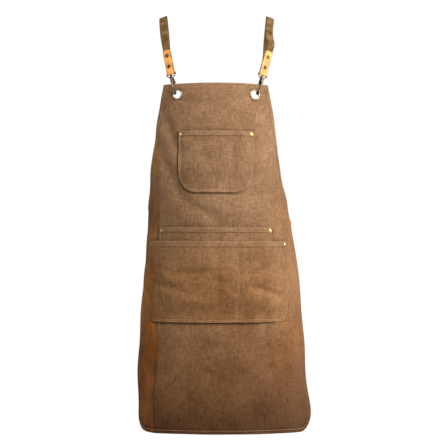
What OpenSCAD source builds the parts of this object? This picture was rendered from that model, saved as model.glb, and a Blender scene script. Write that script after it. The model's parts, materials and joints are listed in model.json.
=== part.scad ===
// Cross-back butcher apron in waxed canvas, as it hangs on its wearer.
// +Z is up, the apron faces -Y, and +X is to the right of someone who looks at its front.
// The origin is midway between the shoulders, level with the undersides of the two straps there.

/* [Panel] */
// Length of the panel from the bib's top edge to the hem
panel_length = 875; // [800:5:1000]
// Width of the bib's top edge, laid flat
bib_width = 280; // [240:5:320]
// Width of the panel below the armholes, laid flat
panel_width = 660; // [600:10:760]
// Depth of the armholes below the bib's top edge
armhole_depth = 330; // [280:5:380]
// Radius of the two lower corners
hem_radius = 65; // [20:5:80]
// Thickness of the canvas
cloth = 1.2; // [0.8:0.1:2]
// Drop from the shoulders to the bib's top edge
bib_drop = 181; // [150:5:230]

/* [Wearer] */
// How far the bib's top edge stands in front of the shoulders
bib_depth = 118; // [100:2:140]
// How far the front stands out at the waist
waist_depth = 151; // [130:2:170]
// How far the hem stands out
hem_depth = 176; // [150:2:200]

/* [Pockets] */
// Width of the chest pocket
chest_pocket_width = 195; // [150:5:220]
// Height of the chest pocket
chest_pocket_height = 155; // [120:5:180]
// Radius of the chest pocket's lower corners
chest_pocket_radius = 50; // [20:5:60]
// Drop from the bib's top edge to the chest pocket's mouth
chest_pocket_drop = 119; // [90:1:150]
// Place of the pen slot's seam, right of the middle
pen_seam = 42; // [20:1:70]
// Width of the upper waist pocket
upper_pocket_width = 310; // [260:5:360]
// Drop from the bib's top edge to the upper waist pocket's mouth
upper_pocket_drop = 361; // [340:1:400]
// Place of the upper waist pocket's seam, right of the middle
upper_seam = 8; // [-40:1:40]
// Width of the lower waist pocket
lower_pocket_width = 428; // [380:4:480]
// Height of the lower waist pocket
lower_pocket_height = 203; // [160:1:240]
// How far the lower waist pocket's mouth lies below the upper one's
pocket_step = 35; // [20:1:60]
// Radius of the lower waist pocket's lower corners
lower_pocket_radius = 35; // [15:5:50]
// Place of the lower waist pocket's seam, right of the middle
lower_seam = 54; // [20:1:90]
// Slack that lets each pocket stand off the cloth behind it
pocket_slack = 12; // [10:0.5:14]
// How far the seams lie inside a pocket's edges
seam_inset = 9; // [6:1:14]

/* [Eyelets] */
// Radius of the hole in each eyelet
eyelet_bore = 10.4; // [10:0.2:12]
// Radius of each eyelet's flange
eyelet_flange = 14.1; // [13.6:0.1:17]
// Distance of each eyelet from the middle, laid flat
eyelet_place = 101; // [85:1:110]
// Drop from the bib's top edge to the eyelets
eyelet_drop = 27; // [24:1:32]

/* [Straps] */
// Width of the webbing
strap_width = 20; // [16:1:22]
// Thickness of the webbing
webbing = 2.4; // [1.6:0.1:2.6]
// Distance of each strap from the middle at the shoulders
shoulder_place = 137; // [110:1:150]
// Length of the leather tabs, folded
tab_length = 68; // [55:1:80]
// Thickness of the leather
leather = 1.7; // [1.2:0.1:2.2]

/* [Snap hooks] */
// Radius of the wire of the swivel eye
eye_wire = 1.3; // [1:0.1:1.5]
// Height of the swivel eye, from its bar to the underside of its boss
eye_height = 12.4; // [11:0.2:16]
// Radius of the swivel post
post_radius = 2; // [1.6:0.1:2.4]
// Radius of the hook's wire
hook_wire = 2.1; // [1.8:0.1:2.3]
// Distance from the hook's middle to the middle of its wire
hook_reach = 6.2; // [5.8:0.1:7.5]
// Length of the hook's barrel
barrel_length = 12.5; // [11:0.5:16]
// Length of the gap inside the hook, which holds the rim of the cloth
hook_gap = 27; // [26:0.2:30]
// Radius of the thumb bolt
bolt_radius = 1.6; // [1.2:0.1:1.8]
// How far the thumb bolt draws back
bolt_travel = 4; // [3:0.5:5]
// How far the left hook leans outwards
left_hook_lean = 16; // [8:1:18]
// How far the right hook leans outwards
right_hook_lean = 20; // [8:1:20]

/* [Rivets] */
// Radius of the rivet caps
rivet_radius = 4.6; // [3.5:0.1:5.5]
// Radius of the rivet posts
rivet_post = 1.4; // [1:0.1:1.8]

/* [Hidden] */

LEFT = -1;
RIGHT = 1;
canvas_colour = "#8a6746";
pocket_colour = "#94704e";
webbing_colour = "#6b4a2c";
leather_colour = "#e39a48";
brass_colour = "#8d7440";
bronze_colour = "#5a4a30";
steel_colour = "#b8b8b8";

panel_half = panel_width/2;
bib_half = bib_width/2;
clear = 0.3;               // gap between pieces that are laid on each other
columns = 22;              // columns of the panel's mesh on each side of the middle
pitch = panel_half/columns;
lower_pocket_drop = upper_pocket_drop + pocket_step;
pocket_foot = lower_pocket_drop + lower_pocket_height;
fold_start = 143;          // the left side's fold begins this far from the middle
fold_length = 30;
side_start = 110;          // the right side starts to turn back here
side_length = 90;

// ---------------------------------------------------------------- how the cloth hangs

// Four levels down the panel where its bends are given: top, chest, waist and hem.
levels = [0, 0.55*armhole_depth, armhole_depth + 30, panel_length];
front_radius = [232, 214, 204, 263];
left_turn = [0, 15, 15, 29];       // degrees that the left side's fold turns
right_turn = [0, 20, 3, 1];        // degrees that the right side turns beyond its even bend
left_radius = [210, 210, 250, 650];

// A smooth curve through four values at the four levels: cubic pieces whose slopes are those
// between each value's neighbours.
function slope_at(v, i) = let(a = max(i - 1, 0), b = min(i + 1, 3)) (v[b] - v[a])/(levels[b] - levels[a]);
function cubic(v, i, u, w) = (2*u*u*u - 3*u*u + 1)*v[i] + (u*u*u - 2*u*u + u)*w*slope_at(v, i)
    + (3*u*u - 2*u*u*u)*v[i + 1] + (u*u*u - u*u)*w*slope_at(v, i + 1);
function at_level(v, t) = let(
    i = t < levels[1] ? 0 : t < levels[2] ? 1 : 2,
    w = levels[i + 1] - levels[i],
    u = min(max((t - levels[i])/w, 0), 1)) cubic(v, i, u, w);

// Half the panel's flat width at a drop t: a straight slope that sweeps out to the side edge,
// and a quarter circle at the hem.
armhole_slope = 0.28;
armhole_sweep = panel_half - bib_half - armhole_slope*armhole_depth;
function half_width(t) = t < armhole_depth
    ? bib_half + armhole_slope*t + armhole_sweep*pow(t/armhole_depth, 5)
    : t < panel_length - hem_radius ? panel_half
    : panel_half - hem_radius + sqrt(max(0, pow(hem_radius, 2) - pow(t - panel_length + hem_radius, 2)));

// One step along a bend: [x, y, heading] carried on by a length, where bend is in degrees a millimetre.
function along(p, bend, run) = let(h = p[2] + bend*run, r = 180/PI/bend)
    [p[0] + r*(sin(h) - sin(p[2])), p[1] + r*(cos(p[2]) - cos(h)), h];
function bend_of(radius) = 180/PI/radius;

// [x, y, heading] at a distance s across the panel from its middle: three arcs end to end.
function across(s, t) = let(
    side = s < 0 ? LEFT : RIGHT,
    a = max(abs(s), 0.001),
    start = side == LEFT ? fold_start : side_start,
    run = side == LEFT ? fold_length : side_length,
    turn = at_level(side == LEFT ? left_turn : right_turn, t),
    front = bend_of(at_level(front_radius, t)),
    last = side == LEFT ? bend_of(at_level(left_radius, t)) : front,
    one = along([0, 0, 0], front, min(a, start)),
    two = a > start ? along(one, front + turn/run, min(a - start, run)) : one,
    three = a > start + run ? along(two, last, a - start - run) : two)
    [side*three[0], three[1], side*three[2]];

depths = [-bib_depth, -(bib_depth + waist_depth)/2 - 9, -waist_depth, -hem_depth];
function front_depth(t) = at_level(depths, t);
function lean(t) = atan((front_depth(t - 4) - front_depth(t + 4))/8);
function ease(u) = let(c = min(max(u, 0), 1)) c*c*(3 - 2*c);
side_sag = 14;
bib_crown = 3;
function height(s, t) = -bib_drop - t
    - side_sag*pow(s/panel_half, 2)*ease((t - 0.57*panel_length)/(0.43*panel_length))
    + bib_crown*(1 - min(1, pow(s/bib_half, 2)))*max(0, 1 - t/60);

// The point of the cloth at s across and t down, lifted by d towards the front.
function cloth_point(s, t, d = 0) = let(p = across(s, t))
    [p[0] + d*sin(p[2]), p[1] - d*cos(p[2]) + front_depth(t), height(s, t)];

// Puts a piece on the cloth at s, t: its x runs across, its y up and its z out of the front.
module on_cloth(s, t, d = 0) {
    translate(cloth_point(s, t)) rotate([90 - lean(t), 0, across(s, t)[2]]) translate([0, 0, d]) children();
}

// ---------------------------------------------------------------- meshes

// A closed skin between two grids of points that have the same rows and columns.
module skin(front, back) {
    rows = len(front);
    cols = len(front[0]);
    all = rows*cols;
    function id(i, j, k = 0) = k*all + i*cols + j;
    points = [for (g = [front, back]) for (row = g) for (p = row) p];
    faces = [
        for (i = [0:rows - 2]) for (j = [0:cols - 2]) each [
            [id(i, j), id(i, j + 1), id(i + 1, j + 1)], [id(i, j), id(i + 1, j + 1), id(i + 1, j)],
            [id(i, j, 1), id(i + 1, j + 1, 1), id(i, j + 1, 1)],
            [id(i, j, 1), id(i + 1, j, 1), id(i + 1, j + 1, 1)]],
        for (j = [0:cols - 2]) each [
            [id(0, j), id(0, j, 1), id(0, j + 1, 1)], [id(0, j), id(0, j + 1, 1), id(0, j + 1)],
            [id(rows - 1, j), id(rows - 1, j + 1), id(rows - 1, j + 1, 1)],
            [id(rows - 1, j), id(rows - 1, j + 1, 1), id(rows - 1, j, 1)]],
        for (i = [0:rows - 2]) each [
            [id(i, 0), id(i + 1, 0), id(i + 1, 0, 1)], [id(i, 0), id(i + 1, 0, 1), id(i, 0, 1)],
            [id(i, cols - 1), id(i, cols - 1, 1), id(i + 1, cols - 1, 1)],
            [id(i, cols - 1), id(i + 1, cols - 1, 1), id(i + 1, cols - 1)]]];
    polyhedron(points = points, faces = faces, convexity = 10);
}

// Every column of a pocket: the panel's own columns where it is plain, and steps round its corners.
function pocket_columns(half, radius) = [
    for (a = [90:-18:18]) -(half - radius + radius*sin(a)),
    for (j = [-columns:columns]) if (abs(j*pitch) < half - radius - 2) j*pitch,
    for (a = [18:18:90]) half - radius + radius*sin(a)];
function pocket_bottom(s, half, radius, foot) = let(over = max(0, abs(s) - (half - radius)))
    foot - radius + sqrt(max(0, radius*radius - over*over));

// How far a pocket stands off between two seams, from 0 at each to 1 between them.
function belly(s, a, b) = s <= a || s >= b ? 0 : pow(sin(180*(s - a)/(b - a)), 0.6);
function swell(s, t, half, seam, top, foot) = let(
    e = half - seam_inset,
    cross = s < seam ? belly(s, -e, seam) : belly(s, seam, e))
    cross*ease((foot - seam_inset - t)/45);
function upper_lift(s, t) = cloth + clear/2 + pocket_slack
    *swell(s, t, upper_pocket_width/2, upper_seam, upper_pocket_drop, pocket_foot - 10);
// The lower waist pocket rides over the upper one, with a ramp beyond its edge.
function lower_lift(s, t) = let(
    over = 1 - ease((abs(s) - upper_pocket_width/2 - 3)/12),
    under = upper_lift(s, t) - cloth - clear/2)
    cloth + clear/2 + over*(cloth + clear) + under
    + pocket_slack*swell(s, t, lower_pocket_width/2, lower_seam, lower_pocket_drop, pocket_foot);
function chest_lift(s, t) = cloth + clear/2 + pocket_slack
    *swell(s, t, chest_pocket_width/2, pen_seam, chest_pocket_drop, chest_pocket_drop + chest_pocket_height);

module pocket(half, radius, top, foot, which, rows) {
    cols = pocket_columns(half, radius);
    function lift(s, t) = which == "chest" ? chest_lift(s, t)
        : which == "upper" ? upper_lift(s, t)
        : lower_lift(s, t);
    function row_t(s, i) = top + (pocket_bottom(s, half, radius, foot) - top)*i/rows;
    back = [for (i = [0:rows]) [for (s = cols) cloth_point(s, row_t(s, i), lift(s, row_t(s, i)))]];
    front = [for (i = [0:rows]) [for (s = cols) cloth_point(s, row_t(s, i), lift(s, row_t(s, i)) + cloth)]];
    skin(front, back);
}

// ---------------------------------------------------------------- canvas pieces

module front_panel() {
    hem_rows = [for (a = [18:18:90]) panel_length - hem_radius + hem_radius*sin(a)];
    plain = panel_length - hem_radius;
    rows = concat([for (i = [0:26]) plain*i/26], hem_rows);
    function column(t, j) = half_width(t)*j/columns;
    color(canvas_colour) difference() {
        skin([for (t = rows) [for (j = [-columns:columns]) cloth_point(column(t, j), t, cloth)]],
            [for (t = rows) [for (j = [-columns:columns]) cloth_point(column(t, j), t)]]);
        for (side = [LEFT, RIGHT])
            on_cloth(side*eyelet_place, eyelet_drop, -6)
                cylinder(r = eyelet_bore + eyelet_wall + 0.05, h = 16, $fn = 48);
    }
}

module chest_pocket() {
    color(pocket_colour) pocket(chest_pocket_width/2, chest_pocket_radius, chest_pocket_drop,
        chest_pocket_drop + chest_pocket_height, "chest", 10);
}

module upper_waist_pocket() {
    color(pocket_colour) pocket(upper_pocket_width/2, lower_pocket_radius, upper_pocket_drop,
        pocket_foot - 10, "upper", 10);
}

module lower_waist_pocket() {
    color(pocket_colour) pocket(lower_pocket_width/2, lower_pocket_radius, lower_pocket_drop,
        pocket_foot, "lower", 10);
}

// ---------------------------------------------------------------- rivets and eyelets

cap_height = 1.9;
cap_skirt = 0.6;

// A domed cap, its foot at z = 0.
module rivet_cap() {
    ball = (pow(rivet_radius, 2) + pow(cap_height - cap_skirt, 2))/2/(cap_height - cap_skirt);
    cylinder(r = rivet_radius, h = cap_skirt, $fn = 40);
    intersection() {
        translate([0, 0, cap_height - ball]) sphere(r = ball, $fn = 60);
        translate([0, 0, cap_skirt]) cylinder(r = rivet_radius, h = cap_height, $fn = 40);
    }
}

// A post through what it holds, with its flat head behind it. z = 0 is the cap's foot.
module rivet_post(grip) {
    translate([0, 0, -grip - 1]) cylinder(r = rivet_radius - 0.8, h = 1, $fn = 40);
    translate([0, 0, -grip]) cylinder(r = rivet_post, h = grip, $fn = 24);
}

rivet_in = 6.5;
rivet_down = 8.5;
rivet_gap = 0.1;

module pocket_caps(half, drop, stack) {
    for (side = [LEFT, RIGHT])
        on_cloth(side*(half - rivet_in), drop + rivet_down, stack + rivet_gap) rivet_cap();
}

module pocket_posts(half, drop, stack) {
    for (side = [LEFT, RIGHT])
        on_cloth(side*(half - rivet_in), drop + rivet_down, stack + rivet_gap)
            rivet_post(stack + 2*rivet_gap);
}

two_layers = 2*cloth + clear/2;
module chest_rivet_caps() color(brass_colour)
    pocket_caps(chest_pocket_width/2, chest_pocket_drop, two_layers);
module chest_rivet_posts() color(brass_colour)
    pocket_posts(chest_pocket_width/2, chest_pocket_drop, two_layers);
module upper_rivet_caps() color(brass_colour)
    pocket_caps(upper_pocket_width/2, upper_pocket_drop, two_layers);
module upper_rivet_posts() color(brass_colour)
    pocket_posts(upper_pocket_width/2, upper_pocket_drop, two_layers);
module lower_rivet_caps() color(brass_colour)
    pocket_caps(lower_pocket_width/2, lower_pocket_drop, two_layers);
module lower_rivet_posts() color(brass_colour)
    pocket_posts(lower_pocket_width/2, lower_pocket_drop, two_layers);

// The rivets that hold the straps' lower ends at the waist corners.
waist_rivet_in = 26;
end_slant = 32;            // how steeply the straps' ends run down from the waist corners
end_drop = 2;
waist_rivet_drop = armhole_depth + end_drop + waist_rivet_in*tan(end_slant);
sewn_gap = 0.9;            // gap between the panel and the straps' sewn ends
waist_stack = cloth + sewn_gap + webbing;
module waist_rivet_caps() color(brass_colour) for (side = [LEFT, RIGHT])
    on_cloth(side*(panel_half - waist_rivet_in), waist_rivet_drop, cloth + rivet_gap) rivet_cap();
module waist_rivet_posts() color(brass_colour) for (side = [LEFT, RIGHT])
    on_cloth(side*(panel_half - waist_rivet_in), waist_rivet_drop, cloth + rivet_gap)
        rivet_post(waist_stack + 2*rivet_gap);

eyelet_wall = 0.7;
flange_rise = 1.3;
barrel_end = 1.3;          // how far the barrel comes out behind the cloth

// The front half of an eyelet: a rounded flange and a barrel through the cloth.
module eyelet(side) {
    color(brass_colour) on_cloth(side*eyelet_place, eyelet_drop) rotate_extrude($fn = 64) {
        translate([(eyelet_bore + eyelet_flange)/2, cloth]) intersection() {
            translate([0, -1.07]) circle(r = 2.14, $fn = 48);
            translate([-(eyelet_flange - eyelet_bore)/2, 0])
                square([eyelet_flange - eyelet_bore, flange_rise]);
        }
        translate([eyelet_bore, -barrel_end]) square([eyelet_wall, barrel_end + cloth + 0.4]);
    }
}

// The washer behind the cloth, round the end of the barrel.
module eyelet_washer(side) {
    color(brass_colour) on_cloth(side*eyelet_place, eyelet_drop) rotate_extrude($fn = 64)
        translate([eyelet_bore + eyelet_wall + 0.05, -1])
            square([eyelet_flange - eyelet_bore - eyelet_wall - 0.4, 0.9]);
}

// ---------------------------------------------------------------- snap hooks

// Where the hook's wire bears on the eyelet, as [across, up] from the eyelet's middle.
bearing_angle = 65;
bearing_play = 1.8;
bearing = (eyelet_bore - bearing_play)*[sin(bearing_angle), cos(bearing_angle)];
function hook_lean(side) = side == LEFT ? left_hook_lean : right_hook_lean;
barrel_top = -eye_height - 0.3;
neck = 1.3;
barrel_foot = barrel_top - neck - barrel_length;
hook_foot = barrel_foot - hook_gap;     // the inside of the hook's bend
bend_middle = hook_foot + hook_reach - hook_wire;
gap_play = 0.2;
tip_rise = 6;
tip_top = bend_middle + tip_rise;
bolt_top = barrel_foot + 5;
knob_height = barrel_foot + 3.4;
bore_radius = bolt_radius + 0.15;
knob_neck = 1.1;
knob_radius = 1.7;
bore_top = bolt_top + bolt_travel + 2.3;

// A hook's own place: z runs up its length from the eye's bar at 0, and y runs back through the cloth.
module on_hook(side) {
    on_cloth(side*eyelet_place, eyelet_drop, cloth/2)
        translate([side*bearing[0], bearing[1], 0]) rotate([0, 0, -side*hook_lean(side)])
            translate([0, -hook_foot, 0]) rotate([-90, 0, 0]) children();
}

// The two hooks are alike. The right one is turned half round in its swivel eye, so that both
// knobs are on the inner side.
module on_swivel(side) {
    on_hook(side) rotate([0, 0, side == RIGHT ? 180 : 0]) children();
}

// A round bar between two points, with round ends.
module bar(a, b, r) {
    d = b - a;
    translate(a) rotate([0, acos(d[2]/norm(d)), atan2(d[1], d[0])]) cylinder(r = r, h = norm(d), $fn = 32);
    for (p = [a, b]) translate(p) sphere(r = r, $fn = 32);
}

eye_half = strap_width/2 + 0.9 + eye_wire;
boss_height = 3.2;
module swivel_eye(side) {
    boss_top = -eye_height + boss_height;
    color(bronze_colour) on_hook(side) difference() {
        union() {
            bar([-eye_half, 0, 0], [eye_half, 0, 0], eye_wire);
            for (x = [-1, 1]) {
                bar([x*eye_half, 0, 0], [x*eye_half, 0, -4], eye_wire);
                bar([x*eye_half, 0, -4], [x*4.2, 0, boss_top - boss_height/2], eye_wire);
            }
            translate([0, 0, -eye_height]) cylinder(r = 4.6, h = boss_height, $fn = 48);
        }
        translate([0, 0, -eye_height - 1]) cylinder(r = post_radius + 0.06, h = boss_height + 2, $fn = 48);
    }
}

module hook_body(side) {
    color(bronze_colour) on_swivel(side) {
        // the swivel post and its head
        translate([0, 0, barrel_top - 0.2]) cylinder(r = post_radius, h = boss_height + 0.8, $fn = 48);
        translate([0, 0, barrel_top + boss_height + 0.5]) cylinder(r1 = 3.1, r2 = 2.2, h = 1.5, $fn = 48);
        translate([0, 0, barrel_top - neck]) cylinder(r = 4.3, h = neck, $fn = 48);
        // the body that joins the barrel to the hook's back, with the barrel's bore and knob slot
        difference() {
            translate([0, 0, barrel_foot]) hull() {
                translate([0, -hook_reach + 0.7, 0]) cylinder(r = 3, h = barrel_length, $fn = 32);
                translate([0, hook_reach - 0.7, 0]) cylinder(r = 4, h = barrel_length, $fn = 32);
            }
            translate([0, hook_reach, barrel_foot - 1])
                cylinder(r = bore_radius, h = bore_top - barrel_foot + 1, $fn = 32);
            translate([0, hook_reach - knob_neck - 0.2, knob_height - knob_neck - 0.2])
                cube([8, 2*knob_neck + 0.4, bolt_travel + 2*knob_neck + 0.4]);
        }
        // the hook itself
        translate([0, -hook_reach, bend_middle])
            cylinder(r = hook_wire, h = barrel_foot - bend_middle + 1, $fn = 32);
        translate([0, 0, bend_middle]) rotate([0, 90, 0]) rotate([0, 0, 270])
            rotate_extrude(angle = 180, $fn = 48) translate([hook_reach, 0]) circle(r = hook_wire, $fn = 32);
        translate([0, hook_reach, bend_middle]) cylinder(r = hook_wire, h = tip_rise, $fn = 32);
    }
}

module thumb_bolt(side) {
    color(bronze_colour) on_swivel(side) translate([0, hook_reach, 0]) {
        translate([0, 0, tip_top + gap_play])
            cylinder(r = bolt_radius, h = bolt_top - tip_top - gap_play, $fn = 32);
        translate([0, 0, knob_height]) rotate([0, 90, 0]) cylinder(r = knob_neck, h = 5.2, $fn = 24);
        translate([5.9, 0, knob_height]) sphere(r = knob_radius, $fn = 32);
    }
}

// A small coil, wound as a swept ring of a few corners.
module coil(r, wire, low, high, turns) {
    steps = turns*12;
    corners = 5;
    rings = [for (i = [0:steps]) let(a = 360*turns*i/steps, z = low + wire + (high - low - 2*wire)*i/steps)
        [for (k = [0:corners - 1]) let(c = 360*k/corners, q = r + wire*cos(c))
            [q*cos(a), q*sin(a), z + wire*sin(c)]]];
    points = [for (ring = rings) for (p = ring) p];
    function id(i, k) = i*corners + k % corners;
    faces = [
        [for (k = [0:corners - 1]) id(0, k)],
        for (i = [0:steps - 1]) for (k = [0:corners - 1]) each [
            [id(i, k), id(i + 1, k), id(i + 1, k + 1)], [id(i, k), id(i + 1, k + 1), id(i, k + 1)]],
        [for (k = [corners - 1:-1:0]) id(steps, k)]];
    polyhedron(points = points, faces = faces, convexity = 10);
}

module bolt_spring(side) {
    color(steel_colour) on_swivel(side) translate([0, hook_reach, 0])
        coil(1, 0.3, bolt_top + 0.1, bore_top - 0.1, 4);
}

// ---------------------------------------------------------------- tabs and straps

fold_inner = eye_wire + 0.35;
fold_outer = fold_inner + leather;
tab_top = tab_length - fold_outer;
tab_rivets = [18.5, 48];
tab_width = strap_width + 0.6;

// A leather strip folded round the eye's bar, its two leaves closed on the strap's end.
module tab(side) {
    color(leather_colour) on_hook(side) intersection() {
        rotate([90, 0, 90]) translate([0, 0, -tab_width/2]) linear_extrude(tab_width) difference() {
            union() {
                circle(r = fold_outer, $fn = 48);
                translate([-fold_outer, 0]) square([2*fold_outer, tab_top]);
            }
            circle(r = fold_inner, $fn = 48);
            translate([-fold_inner, 0]) square([2*fold_inner, tab_top + 1]);
        }
        rotate([90, 0, 0]) translate([0, 0, -10]) linear_extrude(20) union() {
            translate([-tab_width/2, -10]) square([tab_width, 10 + tab_top - 6]);
            translate([-tab_width/2 + 6, 0]) square([tab_width - 12, tab_top]);
            for (x = [-1, 1]) translate([x*(tab_width/2 - 6), tab_top - 6]) circle(r = 6, $fn = 48);
        }
    }
}

module tab_rivet_caps(side) color(bronze_colour) on_hook(side) for (z = tab_rivets)
    translate([0, -fold_outer - rivet_gap, z]) rotate([90, 0, 0]) rivet_cap();
module tab_rivet_posts(side) color(bronze_colour) on_hook(side) for (z = tab_rivets)
    translate([0, -fold_outer - rivet_gap, z]) rotate([90, 0, 0]) rivet_post(2*fold_outer + 2*rivet_gap);

// The same turns as on_hook(), for points.
function spin_x(p, a) = [p[0], p[1]*cos(a) - p[2]*sin(a), p[1]*sin(a) + p[2]*cos(a)];
function spin_z(p, a) = [p[0]*cos(a) - p[1]*sin(a), p[0]*sin(a) + p[1]*cos(a), p[2]];
function cloth_turn(p, s, t) = spin_z(spin_x(p, 90 - lean(t)), across(s, t)[2]);
function hook_turn(side, p) =
    cloth_turn(spin_z(spin_x(p, -90), -side*hook_lean(side)), side*eyelet_place, eyelet_drop);
function hook_point(side, z) = let(
    flat = [side*bearing[0], bearing[1], cloth/2] + spin_z([0, z - hook_foot, 0], -side*hook_lean(side)))
    cloth_point(side*eyelet_place, eyelet_drop) + cloth_turn(flat, side*eyelet_place, eyelet_drop);

// The strap's route, each stop as [point, direction across the webbing]. It leaves the tab, lies on the
// shoulder, turns on edge between the shoulder blades, crosses the other strap, and ends inside the
// panel's far corner.
back_depth = 116;
cross_drop = bib_drop + 165;
function strap_stops(side) = let(
    x = shoulder_place,
    over = side == LEFT ? 0 : webbing + 1.2,
    inside = -sewn_gap - webbing/2,
    far = -side,
    tab_across = hook_turn(side, [side, 0, 0]),
    flat = function (p) [side*p[0], p[1], p[2]],
    sewn = function (s, d) cloth_point(far*(panel_half - s - d*sin(end_slant)),
        armhole_depth + end_drop + s*tan(end_slant) - d*cos(end_slant), inside),
    end = function (s) [sewn(s, 0), unit(sewn(s, -10) - sewn(s, 10))]) [
    [hook_point(side, 6), tab_across],
    [hook_point(side, tab_top - 16), tab_across],
    [hook_point(side, tab_top + 6), tab_across],
    [hook_point(side, tab_top + 22), tab_across],
    [flat([x - 2, -45, -45]), flat([0.96, 0.2, -0.2])],
    [flat([x + 1, -20, -9]), flat([0.94, 0, -0.34])],
    [flat([x + 1, 8, 1]), flat([0.94, 0, -0.34])],
    [flat([x, 40, -12]), flat([0.95, 0, -0.3])],
    [flat([x - 3, 78, -52]), flat([1, 0, -0.1])],
    [flat([x - 6, 98, -95]), flat([0.93, 0.35, 0])],
    [flat([x - 15, 110, -137]), flat([0.3, 0.95, 0])],
    [flat([x - 20, back_depth - 1 + over, -163]), flat([0.3, 0.95, 0])],
    [flat([x - 21, back_depth + 2 + over, -200]), flat([0.35, 0.92, 0.1])],
    [flat([x - 34, back_depth + 5 + over, -236]), flat([0.85, 0.4, -0.3])],
    [flat([x - 72, back_depth + 7 + over, -283]), flat([0.87, 0, -0.5])],
    [flat([0, back_depth + 9 + over, -cross_drop]), flat([0.8, 0, -0.6])],
    [flat([-92, back_depth + 3 + over/2, -cross_drop - 88]), flat([0.7, -0.1, -0.7])],
    end(-24), end(-4), end(12), end(waist_rivet_in), end(44)];

// A smooth curve through a list of stops, as a Catmull-Rom spline.
function catmull(a, b, c, d, u) =
    0.5*(2*b + (c - a)*u + (2*a - 5*b + 4*c - d)*u*u + (3*b - a - 3*c + d)*u*u*u);
function spline(stops, k, u) = let(n = len(stops) - 1)
    catmull(stops[max(k - 1, 0)], stops[k], stops[min(k + 1, n)], stops[min(k + 2, n)], u);
function unit(v) = v/norm(v);

module strap(side) {
    stops = strap_stops(side);
    steps = 4;
    marks = [for (k = [0:len(stops) - 2]) for (i = [0:steps - 1]) [k, i/steps], [len(stops) - 2, 1]];
    spots = [for (m = marks) spline([for (q = stops) q[0]], m[0], m[1])];
    turns = [for (m = marks) spline([for (q = stops) q[1]], m[0], m[1])];
    last = len(spots) - 1;
    function ahead(i) = unit(spots[min(i + 1, last)] - spots[max(i - 1, 0)]);
    function wide(i) = unit(turns[i] - (turns[i]*ahead(i))*ahead(i));
    function ring(i) = let(w = wide(i)*strap_width/2, h = cross(ahead(i), wide(i))*webbing/2)
        [spots[i] - w - h, spots[i] + w - h, spots[i] + w + h, spots[i] - w + h];
    points = [for (i = [0:last]) for (p = ring(i)) p];
    function id(i, k) = i*4 + k % 4;
    faces = [[for (k = [3:-1:0]) id(0, k)],
        for (i = [0:last - 1]) for (k = [0:3]) each [
            [id(i, k), id(i + 1, k + 1), id(i + 1, k)], [id(i, k), id(i, k + 1), id(i + 1, k + 1)]],
        [for (k = [0:3]) id(last, k)]];
    color(webbing_colour) polyhedron(points = points, faces = faces, convexity = 10);
}

// ---------------------------------------------------------------- the nodes

front_panel();
chest_pocket();
upper_waist_pocket();
lower_waist_pocket();
chest_rivet_caps();
chest_rivet_posts();
upper_rivet_caps();
upper_rivet_posts();
lower_rivet_caps();
lower_rivet_posts();
waist_rivet_caps();
waist_rivet_posts();
eyelet(LEFT);  // eyelet_left
eyelet(RIGHT);  // eyelet_right
eyelet_washer(LEFT);  // eyelet_washer_left
eyelet_washer(RIGHT);  // eyelet_washer_right
strap(LEFT);  // strap_left
strap(RIGHT);  // strap_right
tab(LEFT);  // tab_left
tab(RIGHT);  // tab_right
tab_rivet_caps(LEFT);  // tab_rivet_caps_left
tab_rivet_caps(RIGHT);  // tab_rivet_caps_right
tab_rivet_posts(LEFT);  // tab_rivet_posts_left
tab_rivet_posts(RIGHT);  // tab_rivet_posts_right
swivel_eye(LEFT);  // swivel_eye_left
swivel_eye(RIGHT);  // swivel_eye_right
hook_body(LEFT);  // hook_body_left
hook_body(RIGHT);  // hook_body_right
thumb_bolt(LEFT);  // thumb_bolt_left
thumb_bolt(RIGHT);  // thumb_bolt_right
bolt_spring(LEFT);  // bolt_spring_left
bolt_spring(RIGHT);  // bolt_spring_right
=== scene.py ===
"""A cross-back butcher apron in waxed canvas, hanging as it does on its wearer.

Metres, +Z up, the apron faces -Y, and the origin is midway between the shoulders.
"""

import json
import math

import bpy
import numpy as np
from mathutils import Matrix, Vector


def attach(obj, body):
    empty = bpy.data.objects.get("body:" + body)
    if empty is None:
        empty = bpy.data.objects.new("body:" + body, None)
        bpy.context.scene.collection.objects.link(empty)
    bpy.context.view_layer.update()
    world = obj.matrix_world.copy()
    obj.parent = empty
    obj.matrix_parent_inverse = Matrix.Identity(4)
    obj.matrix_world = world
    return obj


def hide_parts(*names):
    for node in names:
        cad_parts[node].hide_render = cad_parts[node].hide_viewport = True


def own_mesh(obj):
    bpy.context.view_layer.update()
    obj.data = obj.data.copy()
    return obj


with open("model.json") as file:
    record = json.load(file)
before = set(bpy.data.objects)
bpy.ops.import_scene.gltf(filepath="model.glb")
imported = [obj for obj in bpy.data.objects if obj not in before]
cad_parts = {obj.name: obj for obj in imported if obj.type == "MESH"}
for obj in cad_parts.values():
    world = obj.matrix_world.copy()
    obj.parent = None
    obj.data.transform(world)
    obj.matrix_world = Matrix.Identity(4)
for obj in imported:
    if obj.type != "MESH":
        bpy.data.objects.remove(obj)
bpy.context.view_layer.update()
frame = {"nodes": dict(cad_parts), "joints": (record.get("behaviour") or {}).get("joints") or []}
scene = bpy.context.scene


# ---- Camera, backdrop and light
# A long lens stands four metres in front, level with the waist pockets. A pale sweep of paper
# lies under and behind the apron. A soft light hangs at the upper right, a broad weak one at the
# left, and a third catches the right side.

camera_data = bpy.data.cameras.new("camera")
camera_data.sensor_width = 36
camera_data.lens = 124
camera = bpy.data.objects.new("camera", camera_data)
camera.location = (0.021, -4.0, -0.534)
camera.rotation_euler = (math.radians(90), math.radians(-0.2), 0)
scene.collection.objects.link(camera)
scene.camera = camera
scene.view_settings.view_transform = "Standard"


def nodes_of(material):
    """The material's node tree, its principled shader, and a call that adds a node."""
    tree = material.node_tree
    return tree, tree.nodes["Principled BSDF"], tree.nodes.new


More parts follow.
